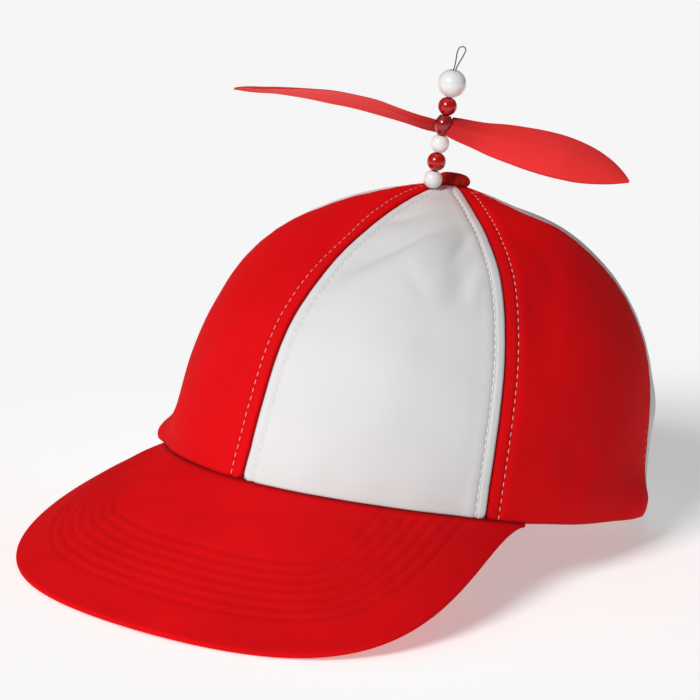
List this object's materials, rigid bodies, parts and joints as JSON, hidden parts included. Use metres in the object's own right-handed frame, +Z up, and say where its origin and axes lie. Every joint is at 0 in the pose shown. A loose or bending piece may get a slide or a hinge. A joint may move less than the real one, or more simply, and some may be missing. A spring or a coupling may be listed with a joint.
{
  "type": "propeller cap",
  "caption": "Soft round cap of red and white panels with a curved peak, a covered button, and beads and a twisted propeller that spins on a wire standing on the crown",
  "frame": {"origin": "centre of the bounding box in X and Y, on the surface that the cap rests on", "axes": "-Y is the way the peak points, +X is the wearer's left, +Z is up, with the cap resting on its peak's edge and the back of its rim"},
  "size_m": [0.1692, 0.2642, 0.1782],
  "materials": {
    "cloth_white": "white woven cotton twill",
    "cloth_red": "red woven cotton twill",
    "button_cloth": "dark red cloth over a button",
    "wire_steel": "dull drawn wire",
    "bead_white": "glossy white",
    "bead_red": "glossy deep red",
    "blade_plastic": "glossy red moulded plastic"
  },
  "bodies": {
    "cap": {"crown_front_left": "cloth_white", "crown_side_left": "cloth_red", "crown_back_left": "cloth_white", "crown_back_right": "cloth_red", "crown_side_right": "cloth_white", "crown_front_right": "cloth_red", "peak": "cloth_red", "button": "button_cloth", "wire": "wire_steel", "bead_base_white": "bead_white", "bead_lower_red": "bead_red", "bead_middle_white": "bead_white", "bead_upper_red": "bead_red", "bead_top_white": "bead_white"},
    "propeller": {"propeller": "blade_plastic"}
  },
  "joints": [
    {"name": "propeller_spin", "type": "hinge", "parent": "cap", "child": "propeller", "pos_m": [0.00329, 0.03393, 0.14951], "axis": [0.0836, 0.1313, 0.9878], "continuous": true}
  ]
}
